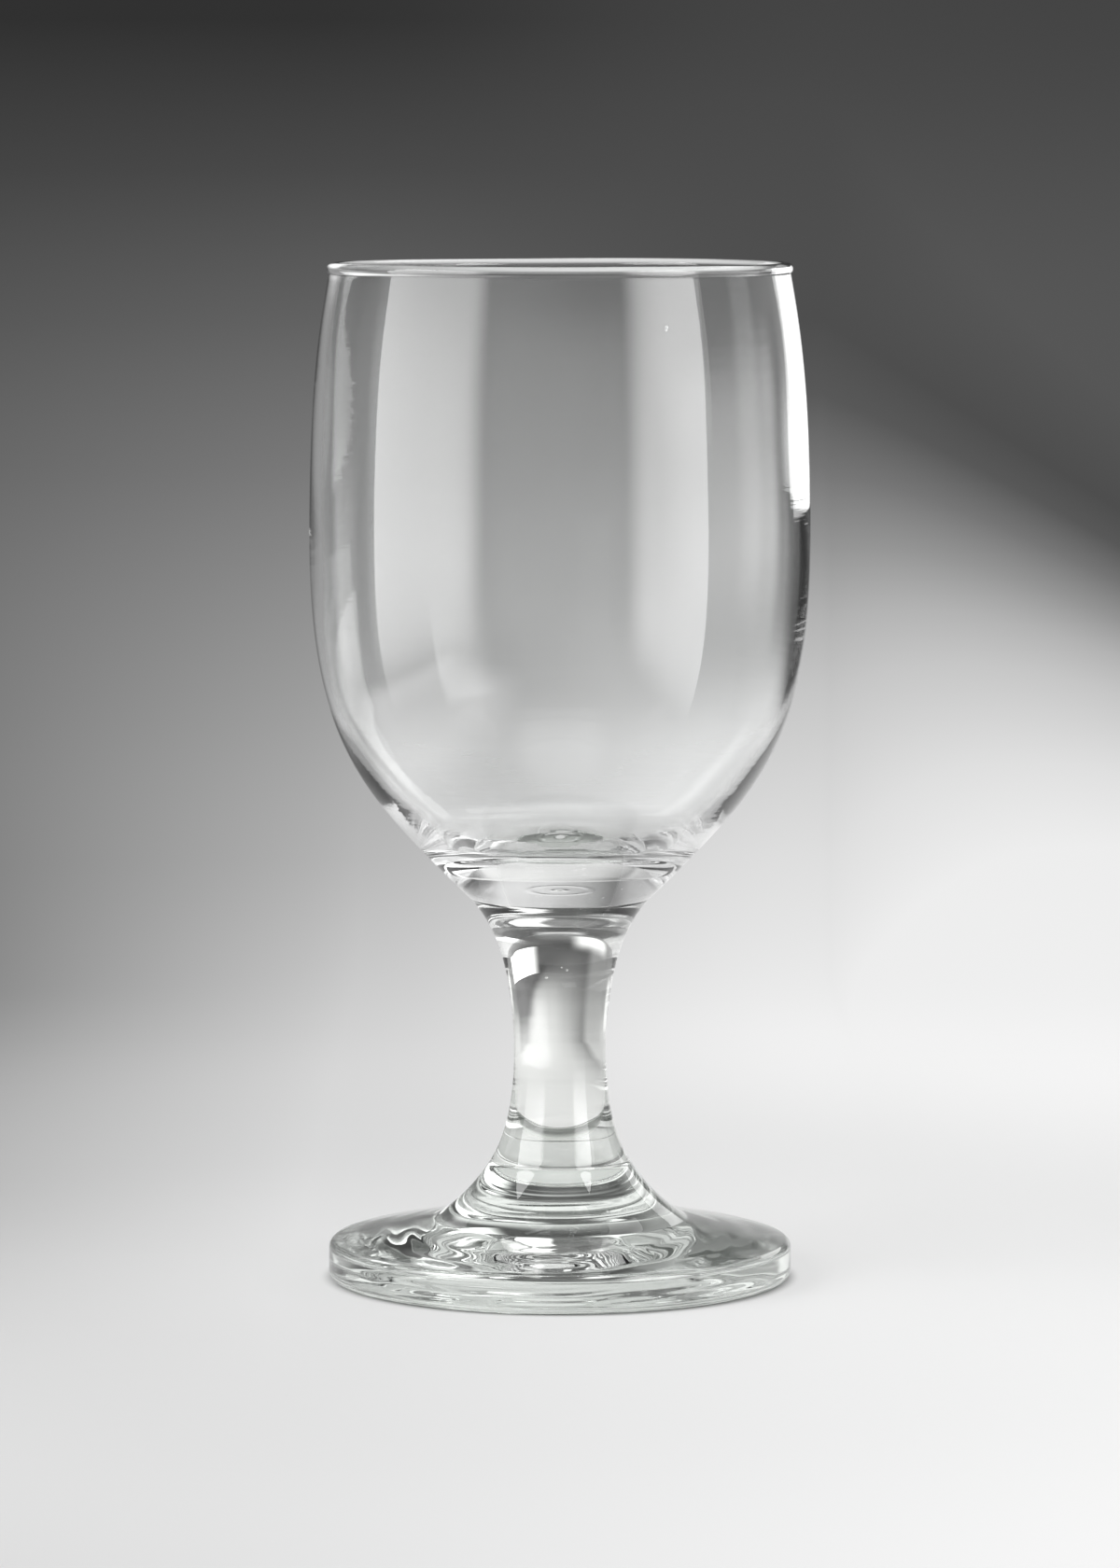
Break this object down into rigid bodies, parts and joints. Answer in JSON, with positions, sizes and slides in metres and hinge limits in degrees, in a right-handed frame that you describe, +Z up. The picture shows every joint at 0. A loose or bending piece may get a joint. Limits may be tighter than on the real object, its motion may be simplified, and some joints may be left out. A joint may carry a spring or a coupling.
{
  "type": "beer goblet",
  "caption": "Clear glass beer goblet: a deep rounded bowl with a fire-polished rim on a short waisted stem and a flat round foot.",
  "frame": {"origin": "on the goblet's axis, at the level of the table it stands on", "axes": "+Z up along the axis from foot to rim; X and Y are level"},
  "size_m": [0.081, 0.081, 0.165],
  "materials": {
    "clear_glass": "polished clear"
  },
  "bodies": {
    "root": {"bowl": "clear_glass", "stem": "clear_glass", "foot": "clear_glass"}
  },
  "joints": []
}
